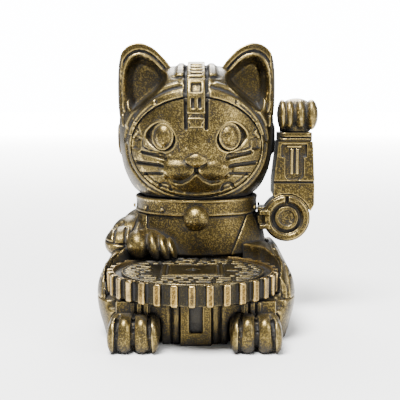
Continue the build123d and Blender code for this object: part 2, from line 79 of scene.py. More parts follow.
def ball(place, radii, turn=(0, 0, 0)):
    """Ellipsoid with the given centre, radii and turn in degrees."""
    clear()
    bpy.ops.mesh.primitive_uv_sphere_add(segments=40, ring_count=24, radius=1, location=place,
                                         rotation=[radians(a) for a in turn], scale=radii)
    return apply_place(bpy.context.object)


def block(low, high, round_edges=0.0):
    """Box between two corners, with its edges rounded when asked."""
    clear()
    middle = [(a + b) / 2 for a, b in zip(low, high)]
    size = [abs(b - a) for a, b in zip(low, high)]
    bpy.ops.mesh.primitive_cube_add(size=1, location=middle, scale=size)
    piece = apply_place(bpy.context.object)
    if round_edges:
        bpy.ops.object.mode_set(mode="EDIT")
        bpy.ops.mesh.select_all(action="SELECT")
        bpy.ops.mesh.bevel(offset=round_edges, segments=4, affect="EDGES")
        bpy.ops.object.mode_set(mode="OBJECT")
    return piece


def drum(place, radius, depth, axis="Z"):
    """Cylinder about one axis."""
    clear()
    bpy.ops.mesh.primitive_cylinder_add(vertices=144, radius=radius, depth=depth, location=place,
                                        rotation=AXIS_TURNS[axis])
    return apply_place(bpy.context.object)


def ring(place, major, minor, axis="Z"):
    """Round ring about one axis."""
    clear()
    bpy.ops.mesh.primitive_torus_add(major_radius=major, minor_radius=minor, major_segments=72,
                                     minor_segments=12, location=place, rotation=AXIS_TURNS[axis])
    return apply_place(bpy.context.object)


print("bench: ball, block, drum and ring; one unit here is", MM, "m")

# %% [markdown]
# A bar or a plate could be extruded by hand, one point after another. A curve is quicker: it takes the
# points of a line as they are, and its bevel or its fill gives the thickness. It becomes a mesh at once,
# because the booleans and the remesh only work on meshes.

# %% Bench helpers: curves turned to mesh
def curve_object(points, closed, smooth):
    """Curve through the given points, ready for a bevel or a fill."""
    curve = bpy.data.curves.new("line", "CURVE")
    curve.dimensions = "3D"
    spline = curve.splines.new("BEZIER" if smooth else "POLY")
    holder = spline.bezier_points if smooth else spline.points
    holder.add(len(points) - 1)
    for point, place in zip(holder, points):
        point.co = place if smooth else (*place, 1)
        if smooth:
            point.handle_left_type = point.handle_right_type = "AUTO"
    spline.use_cyclic_u = closed
    spline.resolution_u = 6
    piece = bpy.data.objects.new("line", curve)
    bpy.context.collection.objects.link(piece)
    select_only(piece)
    return piece


def to_mesh():
    """Turns the selected curve to a mesh with one closed skin."""
    bpy.ops.object.convert(target="MESH")
    bpy.ops.object.mode_set(mode="EDIT")
    bpy.ops.mesh.select_all(action="SELECT")
    bpy.ops.mesh.remove_doubles(threshold=1e-4)
    bpy.ops.mesh.normals_make_consistent(inside=False)
    bpy.ops.object.mode_set(mode="OBJECT")
    return bpy.context.object


def bead(points, radius):
    """Round bar along a line of points."""
    piece = curve_object(points, False, False)
    piece.data.bevel_depth = radius
    piece.data.bevel_resolution = 2
    piece.data.use_fill_caps = True
    return to_mesh()


def plate(outline, front, back, smooth=False):
    """Flat plate with an outline in X and Z, from Y = front to Y = back."""
    piece = curve_object([(x, z, 0) for x, z in outline], True, smooth)
    piece.data.dimensions = "2D"
    piece.data.fill_mode = "BOTH"
    piece.data.extrude = (back - front) / 2
    piece.location = (0, (front + back) / 2, 0)
    piece.rotation_euler = (pi / 2, 0, 0)
    return apply_place(to_mesh())


print("bench: bead and plate")

# %% [markdown]
# A cast figure has no sharp edge and no open joint. Two modifiers give that: a voxel remesh fuses shells
# that overlap into one skin, and a short smoothing rounds its edges. Booleans cut the large openings
# only, because they lose cuts that are as fine as a line.

# %% Bench helpers: joining, cutting and casting
def join(*pieces):
    """One object that holds all the given shells."""
    clear()
    for piece in pieces:
        piece.select_set(True)
    bpy.context.view_layer.objects.active = pieces[0]
    bpy.ops.object.join()
    return bpy.context.object


def boolean(piece, tool, operation):
    select_only(piece)
    step = piece.modifiers.new("shape", "BOOLEAN")
    step.operation, step.object, step.solver = operation, tool, "FAST"
    bpy.ops.object.modifier_apply(modifier=step.name)
    bpy.data.objects.remove(tool)
    return piece


def cut(piece, *tools):
    return boolean(piece, join(*tools), "DIFFERENCE")


def keep(piece, tool):
    return boolean(piece, tool, "INTERSECT")


def cast(piece, voxel=0.14, soften=2):
    """Fuses the shells of a piece and softens its edges, as sand casting does."""
    select_only(piece)
    fuse = piece.modifiers.new("fuse", "REMESH")
    fuse.mode, fuse.voxel_size, fuse.use_smooth_shade = "VOXEL", voxel, True
    bpy.ops.object.modifier_apply(modifier=fuse.name)
    if soften:
        relax = piece.modifiers.new("soften", "SMOOTH")
        relax.factor, relax.iterations = 0.5, soften
        bpy.ops.object.modifier_apply(modifier=relax.name)
    return piece


def copy_node(name):
    """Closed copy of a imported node, in millimetres."""
    twin = bpy.data.objects.new(name + "_copy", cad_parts[name].data.copy())
    bpy.context.collection.objects.link(twin)
    twin.data.materials.clear()
    twin.scale = [1 / MM] * 3
    select_only(twin)
    apply_place(twin)
    bpy.ops.object.mode_set(mode="EDIT")
    bpy.ops.mesh.select_all(action="SELECT")
    bpy.ops.mesh.remove_doubles(threshold=1e-3)
    bpy.ops.object.mode_set(mode="OBJECT")
    return twin


print("bench: join, cut, keep, cast and copy_node")

# %% [markdown]
# Seams, whiskers and pockets are soft lines in the skin, a few tenths of a millimetre wide. They could be
# sculpted by hand. Here each one is a line of points, and the vertices near it are pushed in along their
# normals, which keeps the skin closed and gives the rounded walls of a cast groove.

# %% Bench helpers: pressing lines and pockets into a skin
FAR_AWAY, NEXT_TO_NOTHING = 1e9, 1e-9
LEAST_FACING = 0.12
GROOVE_STEEPNESS = 1.4


def vertex_values(piece, what="co"):
    """Places or normals of a piece's vertices, one row each."""
    source = piece.data.vertices if what == "co" else piece.data.vertex_normals
    values = np.empty(len(source) * 3)
    source.foreach_get(what, values)
    return values.reshape(-1, 3)


def move_vertices(piece, places):
    piece.data.vertices.foreach_set("co", places.ravel())
    piece.data.update()
    return piece


def line_distance(points, line):
    """Distance from each flat point to a line of flat points."""
    best = np.full(len(points), FAR_AWAY)
    for start, end in zip(line, line[1:]):
        start, span = np.array(start), np.subtract(end, start)
        share = np.clip((points - start) @ span / max(span @ span, NEXT_TO_NOTHING), 0, 1)
        best = np.minimum(best, np.linalg.norm(points - start - share[:, None] * span, axis=1))
    return best


def inside(points, outline):
    """True for each flat point that lies within a closed outline."""
    within = np.zeros(len(points), bool)
    for (x0, z0), (x1, z1) in zip(outline, list(outline[1:]) + [outline[0]]):
        spans = (z0 > points[:, 1]) != (z1 > points[:, 1])
        crossing = x0 + (points[:, 1] - z0) * (x1 - x0) / ((z1 - z0) or NEXT_TO_NOTHING)
        within ^= spans & (points[:, 0] < crossing)
    return within


def ease(share):
    """Soft step from 0 to 1."""
    share = np.clip(share, 0, 1)
    return share * share * (3 - 2 * share)


SIDES = {"front": ((0, -1, 0), (0, 2)), "back": ((0, 1, 0), (0, 2)), "left": ((1, 0, 0), (1, 2)),
         "right": ((-1, 0, 0), (1, 2)), "top": ((0, 0, 1), (0, 1))}


def press(piece, lines, half_width, depth, side="front"):
    """Presses grooves into one side of a skin. A negative depth raises a bead instead."""
    look, axes = SIDES[side]
    places, normals = vertex_values(piece), vertex_values(piece, "vector")
    near = np.full(len(places), FAR_AWAY)
    for line in lines:
        near = np.minimum(near, line_distance(places[:, axes], line))
    faces_side = normals @ np.array(look) > LEAST_FACING
    push = depth * ease(GROOVE_STEEPNESS * (1 - near / half_width)) * faces_side
    return move_vertices(piece, places - normals * push[:, None])


def sink(piece, outline, depth, soft=0.2, side="front"):
    """Presses a pocket with a closed outline into one side of a skin."""
    look, axes = SIDES[side]
    places, normals = vertex_values(piece), vertex_values(piece, "vector")
    flat = places[:, axes]
    reach = line_distance(flat, list(outline) + [outline[0]]) * inside(flat, outline)
    push = depth * ease(reach / soft) * (normals @ np.array(look) > LEAST_FACING)
    return move_vertices(piece, places - normals * push[:, None])


def scoop(piece, outline, floor_y, soft):
    """Hollows the front of a piece down to a floor, inside an outline, with a bowl's soft wall."""
    places = vertex_values(piece)
    flat = places[:, (0, 2)]
    reach = line_distance(flat, list(outline) + [outline[0]]) * inside(flat, outline)
    share = ease(reach / soft)
    lower = places[:, 1] + (floor_y - places[:, 1]) * share
    places[:, 1] = np.where(places[:, 1] < floor_y, lower, places[:, 1])
    return move_vertices(piece, places)


def rounded(outline, rounds=2):
    """Closed outline with its corners cut back until it reads as a curve."""
    for _ in range(rounds):
        following = outline[1:] + outline[:1]
        outline = [(a[0] * (1 - t) + b[0] * t, a[1] * (1 - t) + b[1] * t)
                   for a, b in zip(outline, following) for t in (0.25, 0.75)]
    return outline


def mirrored(points, side):
    return [(side * x, z) for x, z in points]


def rectangle(left, right, low, high):
    return [(left, low), (right, low), (right, high), (left, high)]


print("bench: press, sink and scoop, on the sides", list(SIDES))

# %% [markdown]
# Every piece ends the same way. It is turned to metres with its place in its mesh, gets one material and
# rides on the body that it moves with. Edges sharper than the angle stay crisp and the rest is smooth.

# %% Bench helper: finishing a piece
SMOOTH_ANGLE = radians(50)


def finish_piece(piece, name, material, body, replaces):
    """Turns a piece to metres, names it and puts it on its body."""
    select_only(piece)
    piece.scale = [MM] * 3
    apply_place(piece)
    piece.name = piece.data.name = name
    piece.data.materials.clear()
    piece.data.materials.append(material)
    bpy.ops.object.shade_smooth_by_angle(angle=SMOOTH_ANGLE)
    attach(piece, body)
    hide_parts(*replaces)
    print(f"{name}: {len(piece.data.polygons)} faces")
    return piece


print("finish_piece smooths edges under", round(SMOOTH_ANGLE, 2), "radians")

# %% [markdown]
# Aged brass is one metal in three states. Proud edges are rubbed bright, broad faces are olive brown and
# recesses are nearly black, from patina in the hollows and from painted shade where parts crowd each
# other. The state is read from the shape itself: how crowded a point is by its surroundings, and how
# sharply the surface bends. The same group serves every metal here, and each material gives it its own
# colours.

# %% The ageing and painted shade group: colour, roughness and height from the shape
def socket(group, name, kind, direction="INPUT", default=None):
    made = group.interface.new_socket(name=name, in_out=direction, socket_type=kind)
    if default is not None:
        made.default_value = default


def math_node(tree, operation, a, b, clamp=False):
    node = tree.nodes.new("ShaderNodeMath")
    node.operation, node.use_clamp = operation, clamp
    for index, value in enumerate((a, b)):
        if isinstance(value, (int, float)):
            node.inputs[index].default_value = value
        else:
            tree.links.new(value, node.inputs[index])
    return node.outputs[0]


def ramp(tree, value, low, high, from_value=0.0, to_value=1.0):
    node = tree.nodes.new("ShaderNodeMapRange")
    node.inputs["From Min"].default_value, node.inputs["From Max"].default_value = low, high
    node.inputs["To Min"].default_value, node.inputs["To Max"].default_value = from_value, to_value
    tree.links.new(value, node.inputs["Value"])
    return node.outputs["Result"]


def mix_colour(tree, factor, first, second):
    node = tree.nodes.new("ShaderNodeMix")
    node.data_type = "RGBA"
    for value, slot_name in ((factor, "Factor"), (first, "A"), (second, "B")):
        tree.links.new(value, next(s for s in node.inputs if s.name == slot_name and s.enabled))
    return next(s for s in node.outputs if s.enabled)


def noise(tree, coordinates, scale, detail):
    node = tree.nodes.new("ShaderNodeTexNoise")
    node.inputs["Scale"].default_value, node.inputs["Detail"].default_value = scale, detail
    tree.links.new(coordinates, node.inputs["Vector"])
    return node.outputs["Fac"]


NEAR_REACH, FAR_REACH, REACH_SAMPLES = 0.9 * MM, 5 * MM, 8
FINE_GRAIN, COARSE_GRAIN, BROAD_PATCHES = 5200, 420, 110


def build_ageing_and_painted_shade():
    """Group that reads age, painted shade, rubbing and grain from the shape under it."""
    group = bpy.data.node_groups.new("ageing_and_painted_shade", "ShaderNodeTree")
    socket(group, "Metal", "NodeSocketColor", default=(0.22, 0.165, 0.06, 1))
    socket(group, "Tarnish", "NodeSocketColor", default=(0.08, 0.062, 0.026, 1))
    socket(group, "Rubbed", "NodeSocketColor", default=(0.80, 0.66, 0.36, 1))
    socket(group, "Dark", "NodeSocketColor", default=(0.018, 0.016, 0.014, 1))
    # Recess Reach scales how much patina and painted shade darken the colour.
    socket(group, "Recess Reach", "NodeSocketFloat", default=0.5)
    socket(group, "Grain", "NodeSocketFloat", default=0.5)
    for name, kind in (("Colour", "NodeSocketColor"), ("Roughness", "NodeSocketFloat"),
                       ("Metallic", "NodeSocketFloat"), ("Height", "NodeSocketFloat")):
        socket(group, name, kind, "OUTPUT")
    enter = group.nodes.new("NodeGroupInput")
    leave = group.nodes.new("NodeGroupOutput")
    place = group.nodes.new("ShaderNodeTexCoord").outputs["Object"]

    near = group.nodes.new("ShaderNodeAmbientOcclusion")
    near.inputs["Distance"].default_value, near.samples = NEAR_REACH, REACH_SAMPLES
    far = group.nodes.new("ShaderNodeAmbientOcclusion")
    far.inputs["Distance"].default_value, far.samples = FAR_REACH, REACH_SAMPLES
    bend = group.nodes.new("ShaderNodeNewGeometry").outputs["Pointiness"]

    fine = noise(group, place, FINE_GRAIN, 2.5)
    coarse = noise(group, place, COARSE_GRAIN, 4.0)
    broad = noise(group, place, BROAD_PATCHES, 3.0)

    # Patina gathers where the surface bends inwards and in close recesses, and the far reach paints shade
    # where parts crowd each other; both darken the colour.
    crowded_near = ramp(group, near.outputs["AO"], 0.90, 0.42)
    far_painted_shade = ramp(group, far.outputs["AO"], 0.78, 0.20)
    patina_and_shade_crowding = math_node(group, "MAXIMUM", crowded_near, math_node(group, "MULTIPLY", far_painted_shade, 0.85))
    hollow = ramp(group, bend, 0.495, 0.455)
    patchy = ramp(group, coarse, 0.42, 0.66, -0.14, 0.20)
    age_and_shade = math_node(group, "ADD", math_node(group, "MAXIMUM", patina_and_shade_crowding, hollow), patchy)
    reach = math_node(group, "ADD", enter.outputs["Recess Reach"], 0.5)
    age_and_shade = math_node(group, "MULTIPLY", age_and_shade, reach, clamp=True)

    # Ridges are rubbed bright, and single grains catch the light between dark pits.
    ridge = ramp(group, bend, 0.508, 0.545)
    rubbed = math_node(group, "MULTIPLY", ridge, math_node(group, "SUBTRACT", 1.0, age_and_shade), clamp=True)
    sparkle = ramp(group, fine, 0.50, 0.62)
    speck = math_node(group, "MULTIPLY", sparkle, ramp(group, broad, 0.30, 0.62, 0.20, 0.50))
    bright = math_node(group, "MAXIMUM", rubbed, speck, clamp=True)
    pits = math_node(group, "MULTIPLY", ramp(group, fine, 0.50, 0.37), 0.55)
    age_and_shade = math_node(group, "ADD", age_and_shade, pits, clamp=True)

    cloudy = ramp(group, coarse, 0.35, 0.65)
    tone = mix_colour(group, cloudy, enter.outputs["Metal"], enter.outputs["Tarnish"])
    tone = mix_colour(group, bright, tone, enter.outputs["Rubbed"])
    # The dark colour goes where patina and painted shade are strongest.
    tone = mix_colour(group, age_and_shade, tone, enter.outputs["Dark"])
    group.links.new(tone, leave.inputs["Colour"])

    # Old metal is rough and dull, and grains stand up as a fine height.
    rough = math_node(group, "ADD", ramp(group, age_and_shade, 0.0, 1.0, 0.30, 0.70),
                      ramp(group, fine, 0.35, 0.65, -0.04, 0.10))
    rough = math_node(group, "SUBTRACT", rough, math_node(group, "MULTIPLY", rubbed, 0.12), clamp=True)
    group.links.new(rough, leave.inputs["Roughness"])
    group.links.new(ramp(group, age_and_shade, 0.25, 1.0, 1.0, 0.35), leave.inputs["Metallic"])
    grain = math_node(group, "MULTIPLY", fine, enter.outputs["Grain"])
    height = math_node(group, "ADD", grain, math_node(group, "MULTIPLY", coarse, 0.35))
    group.links.new(height, leave.inputs["Height"])
    return group


ageing_and_painted_shade = build_ageing_and_painted_shade()
print("ageing group:", len(ageing_and_painted_shade.nodes), "nodes")

# %% [markdown]
# Seven metals share that group. Most of the casting is antique brass, the helmet is darker, the face and
# what a hand rubs are lighter, the coin is a redder brass over dark patina, and the screws are steel.
# Each has its own shader, fed by its own copy of the group node.

# %% Materials from the ageing group
TARNISH_SHARES = (0.5, 0.5, 0.55)
BUMP_STRENGTH, BUMP_HEIGHT = 0.55, 0.07 * MM
# Darkest colour, for patina and painted shade in recesses.
DEEP_BROWN = (0.012, 0.011, 0.010, 1)


def metal(name, colour, rubbed, dark=DEEP_BROWN, reach=0.5, grain=0.5):
    """Metal with its own colours and its own amount of age, painted shade and grain."""
    material = bpy.data.materials.new(name)
    material.use_nodes = True
    tree = material.node_tree
    shader = tree.nodes["Principled BSDF"]
    group = tree.nodes.new("ShaderNodeGroup")
    group.node_tree = ageing_and_painted_shade
    tarnish = (*(part * share for part, share in zip(colour, TARNISH_SHARES)), 1)
    for socket_name, value in (("Metal", colour), ("Tarnish", tarnish), ("Rubbed", rubbed),
                               ("Dark", dark), ("Recess Reach", reach), ("Grain", grain)):
        group.inputs[socket_name].default_value = value
    tree.links.new(group.outputs["Colour"], shader.inputs["Base Color"])
    tree.links.new(group.outputs["Roughness"], shader.inputs["Roughness"])
    tree.links.new(group.outputs["Metallic"], shader.inputs["Metallic"])
    surface = tree.nodes.new("ShaderNodeBump")
    surface.inputs["Strength"].default_value = BUMP_STRENGTH
    surface.inputs["Distance"].default_value = BUMP_HEIGHT
    tree.links.new(group.outputs["Height"], surface.inputs["Height"])
    tree.links.new(surface.outputs["Normal"], shader.inputs["Normal"])
    return material


antique = metal("antique brass", (0.052, 0.0365, 0.0098, 1), (0.36, 0.262, 0.094, 1), reach=0.65)
shaded = metal("shaded brass", (0.026, 0.019, 0.0068, 1), (0.27, 0.20, 0.074, 1), reach=0.95)
face_brass = metal("face brass", (0.070, 0.0495, 0.0138, 1), (0.43, 0.32, 0.118, 1),
                   reach=0.6, grain=0.6)
polished = metal("rubbed brass", (0.098, 0.069, 0.0185, 1), (0.50, 0.37, 0.138, 1),
                 reach=0.5, grain=0.35)
coin_brass = metal("coin brass", (0.135, 0.080, 0.019, 1), (0.47, 0.325, 0.115, 1),
                   dark=(0.014, 0.012, 0.009, 1), reach=0.55, grain=0.4)
coin_field = metal("coin patina", (0.022, 0.019, 0.012, 1), (0.09, 0.072, 0.036, 1), reach=0.7)
dark_steel = metal("dark steel", (0.012, 0.0105, 0.009, 1), (0.03, 0.027, 0.022, 1), reach=0.9)
print("materials:", [m.name for m in bpy.data.materials])

# %% [markdown]
# The head is a helmet with a face set into it. A sphere would be too tall for it, so a few radii and
# heights make a profile, which is spun about the neck. The face, the helmet, the temple caps, the strap
# and the brow bands start from that solid, each grown by its own thickness, so their skins stay parallel.

# %% The head's profile, spun
HEAD_MIDDLE, HEAD_CROWN = 30.5, 41.5
HEAD_PROFILE = [(8.6, 19.35), (10.5, 20.7), (11.75, 22.7), (12.65, 25.4), (13.1, 30.5),
                (12.8, 34.6), (11.6, 37.9), (8.6, 40.3), (4.2, 41.35)]
CROWN_RADIUS, SPIN_STEPS, LEAST_SQUARE = 2.5, 96, 0.01


def head_solid(grow):
    """Closed solid with the head's profile, grown outwards by grow."""
    points = []
    for radius, height in HEAD_PROFILE:
        share = 1 + grow / sqrt(radius ** 2 + (height - HEAD_MIDDLE) ** 2)
        points.append((radius * share, 0, HEAD_MIDDLE + (height - HEAD_MIDDLE) * share))
    points.append((0, 0, HEAD_CROWN + grow))
    curve_object(points, False, True).data.splines[0].resolution_u = 5
    bpy.ops.object.convert(target="MESH")
    bpy.ops.object.mode_set(mode="EDIT")
    bpy.ops.mesh.select_all(action="SELECT")
    bpy.ops.mesh.spin(steps=SPIN_STEPS, angle=2 * pi, center=(0, 0, 0), axis=(0, 0, 1))
    bpy.ops.mesh.remove_doubles(threshold=1e-3)
    bpy.ops.mesh.select_all(action="DESELECT")
    bpy.ops.mesh.select_non_manifold()
    bpy.ops.mesh.edge_face_add()
    bpy.ops.mesh.select_all(action="SELECT")
    bpy.ops.mesh.normals_make_consistent(inside=False)
    bpy.ops.object.mode_set(mode="OBJECT")
    return bpy.context.object


def head_radius(z):
    """Radius of the head at a height."""
    for (r0, z0), (r1, z1) in zip(HEAD_PROFILE, HEAD_PROFILE[1:]):
        if z0 <= z <= z1:
            return r0 + (r1 - r0) * (z - z0) / (z1 - z0)
    return HEAD_PROFILE[0][0] if z < HEAD_PROFILE[0][1] else CROWN_RADIUS


def on_head(points, step=0.7):
    """Points in X and Z carried onto the front of the head, close enough to follow its curve."""
    placed = []
    for (x0, z0), (x1, z1) in zip(points, points[1:]):
        count = max(1, int(sqrt((x1 - x0) ** 2 + (z1 - z0) ** 2) / step))
        placed += [(x0 + (x1 - x0) * i / count, z0 + (z1 - z0) * i / count) for i in range(count)]
    placed.append(points[-1])
    return [(x, -sqrt(max(head_radius(z) ** 2 - x ** 2, LEAST_SQUARE)), z) for x, z in placed]


def ellipse(half_width, half_height, middle_z, start=0, stop=360, count=48):
    """Ellipse in X and Z, or an arc of one between two angles in degrees."""
    angles = [radians(start + (stop - start) * i / count) for i in range(count + (stop - start < 360))]
    return [(half_width * cos(a), middle_z + half_height * sin(a)) for a in angles]


FACE_HALF_WIDTH, FACE_HALF_HEIGHT, FACE_Z = 10.6, 8.05, 28.1
EYE_X, EYE_Z = 5.1, 30.0
STRAP_HALF = 1.4
FAR_FRONT = -20
print("head:", round(head_radius(HEAD_MIDDLE), 2), "mm radius")

# %% [markdown]
# The face is a shallow mask with almond sockets, whisker slots, puffed cheeks round the mouth and a
# stepped plate round each eye. Ellipsoids give the puffs and the bridge of the nose, and they are fused
# with the head before the mask is cut out of it. Every line is then pressed into the skin.

# %% Face mask
ALMOND = [(2.95, 29.5), (3.7, 31.3), (5.3, 32.5), (7.1, 31.9), (8.5, 30.15), (7.5, 28.5),
          (5.4, 27.3), (3.7, 27.8)]
MOUTH = [(9.3, 23.75), (7.0, 23.95), (5.3, 24.05), (4.5, 23.3), (3.5, 22.75), (2.4, 22.6),
         (1.2, 23.15), (0.4, 23.9), (0, 24.5), (0, 25.2)]
WHISKERS = [[(8.9, 27.35), (7.0, 27.0), (5.0, 26.6)], [(10.3, 25.65), (8.0, 25.5), (5.5, 25.3)]]
EYE_PLATE = [(9.7, 31.4), (9.2, 30.4), (9.9, 29.7), (8.8, 29.3), (8.7, 28.2), (7.6, 27.75), (5.0, 27.05)]
TEMPLE_POCKET = [(8.95, 27.7), (8.95, 29.35), (9.6, 29.6), (11.5, 29.6), (11.5, 27.9), (9.6, 27.5)]
BESIDE_STRAP, CHIN_X = 1.62, 5.1
# A groove is a half width and a depth, and a negative depth stands proud.
SOCKET_LIP, WHISKER_SLOT, MOUTH_LINE, PLATE_LINE = (0.34, -0.16), (0.42, 0.62), (0.34, 0.45), (0.26, 0.34)
STRAP_GROOVE, CHIN_ARC, JAW_LINE = (0.36, 0.8), (0.25, 0.35), (0.24, 0.3)
puffs = [ball((side * 2.45, -10.95, 24.8), (3.5, 2.2, 2.1)) for side in (-1, 1)]
bridge = ball((0, -11.7, 28.4), (2.1, 1.65, 3.8))
face = cast(join(head_solid(-0.1), bridge, *puffs), 0.2, 12)
face = keep(face, plate(ellipse(FACE_HALF_WIDTH, FACE_HALF_HEIGHT, FACE_Z), FAR_FRONT, -4.5))
face = cast(face, 0.125, 0)
for side in (-1, 1):
    socket_line = rounded(mirrored(ALMOND, side))
    chin_circle = ellipse(0.95, 0.95, 21.5, -10, 190, 16)
    sink(face, socket_line, 0.85, 0.3)
    press(face, [socket_line + socket_line[:1]], *SOCKET_LIP)
    sink(face, mirrored(TEMPLE_POCKET, side), 0.7, 0.25)
    press(face, [mirrored(line, side) for line in WHISKERS], *WHISKER_SLOT)
    press(face, [mirrored(MOUTH, side)], *MOUTH_LINE)
    press(face, [mirrored(EYE_PLATE, side)], *PLATE_LINE)
    press(face, [[(side * BESIDE_STRAP, 31.3), (side * BESIDE_STRAP, 38)]], *STRAP_GROOVE)
    press(face, [[(side * CHIN_X + x, z) for x, z in chin_circle]], *CHIN_ARC)
press(face, [ellipse(9.95, 7.4, FACE_Z, 215, 325, 30)], *JAW_LINE)
face = cast(face, 0.12, 1)
finish_piece(face, "face", face_brass, "head", ["face_mask"])

# %% [markdown]
# The helmet is the same round solid with a hole for the face. Its ear bowls are scooped down to a floor
# inside an outline that the ears share, so ear and helmet meet in one hollow. Its floor lies a little
# deeper than the ears' floor, so that the two never fill the same place. Seams are pressed lines.

# %% Helmet
BOWL = [(11.35, 34.0), (12.0, 37.6), (11.75, 40.6), (10.6, 42.6), (9.0, 43.1), (7.2, 42.3),
        (5.6, 40.9), (4.3, 39.4), (5.3, 37.4), (8.0, 35.2), (10.1, 33.4)]
BOWL_FLOOR, BOWL_WALL, FLOOR_GAP, FACE_GAP = -3.2, 1.5, 0.4, 0.08
TOP_BLOCK = [(2.05, 39.6), (3.25, 39.6), (3.0, 42.2), (2.05, 42.2)]
BACK_SEAMS = [[(-12, 25.5), (12, 25.5)], [(-11, 35), (11, 35)], [(-4.5, 25.5), (-4.5, 35)],
              [(4.5, 25.5), (4.5, 35)]]
SIDE_SEAMS = [[(4.6, 21), (4.6, 35)], [(-3.0, 21), (-1.0, 25.5), (12, 25.5)]]
BROW_SEAM, BROW_WELT, CHEEK_SEAM = (0.3, 0.42), (0.34, -0.22), (0.28, 0.4)
CROWN_SEAM, SHELL_SEAM = (0.26, 0.4), (0.28, 0.4)
top_blocks = [keep(head_solid(0.42), plate(mirrored(TOP_BLOCK, side), FAR_FRONT, -1)) for side in (-1, 1)]
rim = bead(on_head(ellipse(10.95, 8.4, FACE_Z, 190, 350, 40)), 0.24)
helmet = cast(join(head_solid(0), rim, *top_blocks), 0.18, 2)
face_hole = ellipse(FACE_HALF_WIDTH + FACE_GAP, FACE_HALF_HEIGHT + FACE_GAP, FACE_Z)
helmet = cut(helmet, plate(face_hole, FAR_FRONT, -4.6))
helmet = cast(helmet, 0.15, 0)
for side in (-1, 1):
    press(helmet, [[(side * BESIDE_STRAP, 30), (side * BESIDE_STRAP, 42.5)]], *STRAP_GROOVE)
    press(helmet, [mirrored(ellipse(11.75, 9.95, FACE_Z, 6, 79, 24), side)], *BROW_SEAM)
    press(helmet, [mirrored(ellipse(12.2, 10.5, FACE_Z, 20, 76, 24), side)], *BROW_WELT)
    press(helmet, [mirrored(ellipse(11.45, 8.95, FACE_Z, -76, 2, 24), side)], *CHEEK_SEAM)
    scoop(helmet, rounded(mirrored(BOWL, side)), BOWL_FLOOR + FLOOR_GAP, BOWL_WALL)
press(helmet, [[(-3.6, 39.35), (3.6, 39.35)]], *CROWN_SEAM)
press(helmet, BACK_SEAMS, *SHELL_SEAM, "back")
for side_name in ("left", "right"):
    press(helmet, SIDE_SEAMS, *SHELL_SEAM, side_name)
helmet = cast(helmet, 0.2, 1)
finish_piece(helmet, "helmet", shaded, "head", ["head_shell"])

# %% [markdown]
# A round cover sits on each temple. It is the head's own skin, grown a little and kept inside a drum, so
# it follows the curve of the helmet that it lies on.

# %% Temple caps
CAP_Y, CAP_Z = 1.5, 29


def build_temple_cap(side, name):
    """Round cover on the side of the helmet, with a ring pressed into it."""
    disc = cast(keep(head_solid(0.32), drum((side * 12, CAP_Y, CAP_Z), 2.7, 8, "X")), 0.12, 0)
    circle = [(CAP_Y + y, z) for y, z in ellipse(1.75, 1.75, CAP_Z)]
    press(disc, [circle + circle[:1]], 0.3, 0.4, name)
    finish_piece(cast(disc, 0.12, 1), f"temple_cap_{name}_cast", antique, "head", [f"temple_cap_{name}"])


for side, name in BOTH_SIDES:
    build_temple_cap(side, name)

# %% [markdown]
# Each ear is a thick leaf with a rounded rim, a groove inside the rim and a deep bowl. A curved plate
# gives its outline, a drum and an ellipsoid trim its side and its back, and the bowl is scooped out.

# %% Ears
EAR = [(12.9, 31.4), (13.3, 36.4), (13.15, 40.4), (12.2, 43.5), (10.0, 44.95), (7.7, 44.5),
       (5.7, 42.9), (4.3, 41.2), (3.2, 39.4), (6.0, 36.0), (9.5, 33.0)]
EAR_MIDDLE, EAR_REACH = (8.9, 38.4), 5.3
EAR_GROOVE, EAR_LEDGE = (0.3, 0.45), (0.28, -0.2)


def ear_outline(side, inset):
    """Outline of an ear, drawn in towards its middle."""
    share = 1 - inset / EAR_REACH
    mx, mz = EAR_MIDDLE
    return [(side * (mx + (x - mx) * share), mz + (z - mz) * share) for x, z in EAR]


def build_ear(side, name):
    ear = plate(ear_outline(side, 0), -5.4, 1.8, smooth=True)
    ear = keep(ear, drum((0, 0, 38), 13.35, 30))
    ear = keep(ear, ball((side * 7.6, -7.5, 37.5), (7.0, 9.3, 8.6)))
    ear = cast(ear, 0.14, 5)
    groove, ledge = rounded(ear_outline(side, 0.95), 1), rounded(ear_outline(side, 1.35), 1)
    press(ear, [groove + groove[:1]], *EAR_GROOVE)
    press(ear, [ledge + ledge[:1]], *EAR_LEDGE)
    scoop(ear, rounded(mirrored(BOWL, side)), BOWL_FLOOR, BOWL_WALL)
    ear = cast(ear, 0.13, 1)
    finish_piece(ear, f"ear_{name}_cast", antique, "head", [f"ear_{name}", f"ear_cup_{name}"])


for side, name in BOTH_SIDES:
    build_ear(side, name)

# %% [markdown]
# The crest strap is a buckled band from brow to nape. A square window, two slots and a ladder of ribs are
# pressed into it, and a small keystone ends it between the eyes.

# %% Crest strap
KEYSTONE = [(-1.35, 32.95), (1.35, 32.95), (1.35, 32.35), (0.85, 31.95), (1.15, 31.35),
            (-1.15, 31.35), (-0.85, 31.95), (-1.35, 32.35)]
WINDOW, SLOT = rectangle(-0.85, 0.85, 36.95, 38.6), rectangle(0.25, 0.85, 34.4, 36.15)
POCKET_DEPTH, POCKET_WALL, RIB_HALF = 0.6, 0.15, 0.8
BUCKLE_LINE, FRONT_RIB, TOP_RIB, BACK_RIB = (0.24, 0.4), (0.19, 0.45), (0.35, 0.4), (0.3, 0.4)


def band_of_head(lift, outline, front, back):
    """Piece of the head's skin, lifted, inside an outline in X and Z."""
    return keep(head_solid(lift), plate(outline, front, back))


